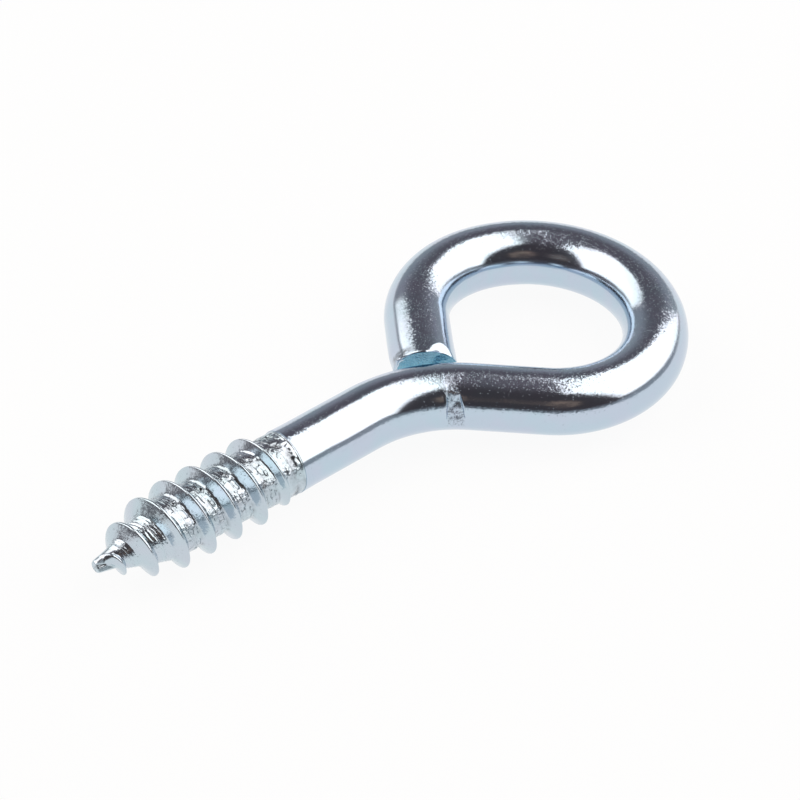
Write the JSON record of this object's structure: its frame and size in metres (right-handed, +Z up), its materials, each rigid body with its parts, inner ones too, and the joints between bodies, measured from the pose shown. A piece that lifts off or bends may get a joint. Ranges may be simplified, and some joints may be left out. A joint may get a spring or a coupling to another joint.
{
  "type": "screw eye",
  "caption": "Steel wire screw eye with a rolled wood thread and gimlet point at one end and a closed offset eye bent at the other.",
  "frame": {"origin": "middle of the bounding box on the surface that it lies on, so the highest thread touches z = 0", "axes": "+X along the shank from the point towards the eye, +Y across the eye on the side that its cut end lies on, +Z up, square to the flat of the eye"},
  "size_m": [0.0522, 0.0238, 0.0063],
  "materials": {
    "zinc": "bright zinc plating with a clear bluish passivate on steel wire, with drawing lines and small marks from bending and thread rolling"
  },
  "bodies": {
    "root": {"screw_eye": "zinc"}
  },
  "joints": []
}
